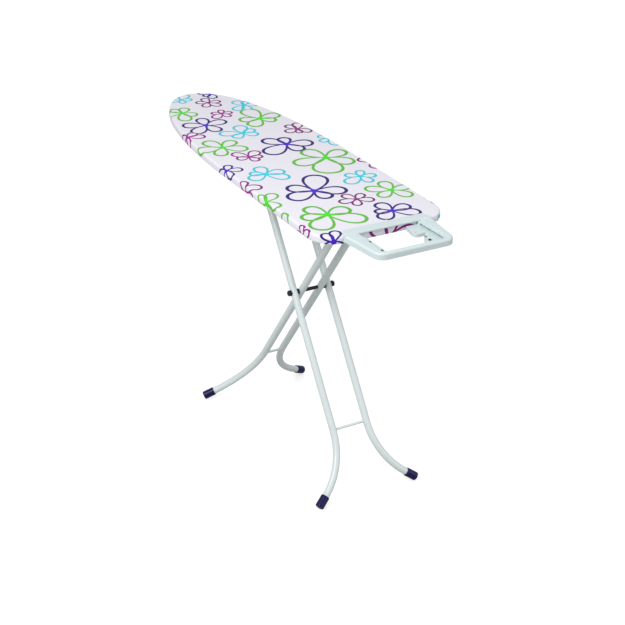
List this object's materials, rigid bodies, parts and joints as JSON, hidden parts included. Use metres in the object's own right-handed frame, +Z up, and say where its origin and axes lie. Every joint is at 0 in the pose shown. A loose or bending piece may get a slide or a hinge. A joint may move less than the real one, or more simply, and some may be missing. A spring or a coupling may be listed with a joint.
{
  "type": "folding ironing board",
  "caption": "Folding ironing board: padded printed cover on a metal top, crossed tube legs that fold flat, and a plastic iron rest at the square end.",
  "frame": {"origin": "on the floor, under the middle of the overall length and width, with the board at working height", "axes": "+Z up, +X along the board from the rounded nose to the iron rest, +Y across the board"},
  "size_m": [1.4, 0.416, 0.899],
  "materials": {
    "white_powder_coat": "semi-gloss white powder coat on steel tube and sheet",
    "panel_paint": "thin grey-white paint on expanded steel",
    "zinc_plate": "bright zinc plate",
    "black_steel": "blackened steel screws",
    "rest_plastic": "satin moulded plastic",
    "bracket_paint": "white paint on pressed steel",
    "navy_plastic": "satin navy moulded plastic",
    "dark_plastic": "satin dark moulded plastic",
    "natural_plastic": "waxy undyed plastic",
    "cover_cloth": "plain-weave cotton with a line-drawn flower print",
    "pad_foam": "needled felt and foam"
  },
  "bodies": {
    "board": {"cover": "cover_cloth", "foam_pad": "pad_foam", "top_panel": "panel_paint", "rim_frame": "white_powder_coat", "front_brace": "white_powder_coat", "middle_brace": "white_powder_coat", "hinge_brace": "white_powder_coat", "guide_rail_left": "white_powder_coat", "guide_rail_right": "white_powder_coat", "height_rack": "zinc_plate", "rail_rivets": "zinc_plate", "hinge_rivets": "zinc_plate", "hinge_ear_left": "white_powder_coat", "hinge_ear_right": "white_powder_coat", "hinge_pin": "zinc_plate", "iron_rest": "rest_plastic", "rest_bracket_left": "bracket_paint", "rest_bracket_right": "bracket_paint", "rest_spacers": "zinc_plate", "rest_screws": "black_steel"},
    "inner_legs": {"inner_leg_tube_left": "white_powder_coat", "inner_leg_tube_right": "white_powder_coat", "inner_leg_foot_cap_left": "navy_plastic", "inner_leg_foot_cap_right": "navy_plastic", "inner_leg_top_plugs": "natural_plastic", "inner_leg_cross_wire": "white_powder_coat", "hinge_sleeve": "dark_plastic", "pivot_axle": "zinc_plate", "pivot_sleeve": "dark_plastic", "pivot_washer_left": "dark_plastic", "pivot_washer_right": "dark_plastic", "pivot_cap_left": "dark_plastic", "pivot_cap_right": "dark_plastic"},
    "outer_legs": {"outer_leg_tube_left": "white_powder_coat", "outer_leg_tube_right": "white_powder_coat", "outer_leg_foot_cap_left": "navy_plastic", "outer_leg_foot_cap_right": "navy_plastic", "outer_leg_top_plugs": "natural_plastic", "outer_leg_cross_wire": "white_powder_coat"},
    "slide_carriage": {"slide_bar": "zinc_plate", "slide_shoe_left": "natural_plastic", "slide_shoe_right": "natural_plastic", "bar_clips": "zinc_plate", "lever_spring": "zinc_plate"},
    "height_lever": {"height_lever": "zinc_plate", "lever_grip": "navy_plastic"}
  },
  "joints": [
    {"name": "leg_fold", "type": "hinge", "parent": "board", "child": "inner_legs", "pos_m": [0.37762, 0, 0.855], "axis": [0, 1, 0], "range_deg": [0, 52]},
    {"name": "leg_cross", "type": "hinge", "parent": "inner_legs", "child": "outer_legs", "pos_m": [0.148, 0, 0.531], "axis": [0, 1, 0], "range_deg": [-104, 0]},
    {"name": "carriage_turn", "type": "hinge", "parent": "outer_legs", "child": "slide_carriage", "pos_m": [-0.08162, 0, 0.855], "axis": [0, 1, 0], "range_deg": [0, 52]},
    {"name": "lever_squeeze", "type": "hinge", "parent": "slide_carriage", "child": "height_lever", "pos_m": [-0.08162, 0, 0.855], "axis": [0, 1, 0], "range_deg": [0, 8], "stiffness_Nm_per_rad": 0.6, "springref_deg": -28.65}
  ],
  "couplings": [
    {"joint": "leg_cross", "follows": "leg_fold", "ratio": -2},
    {"joint": "carriage_turn", "follows": "leg_fold", "ratio": 1}
  ]
}
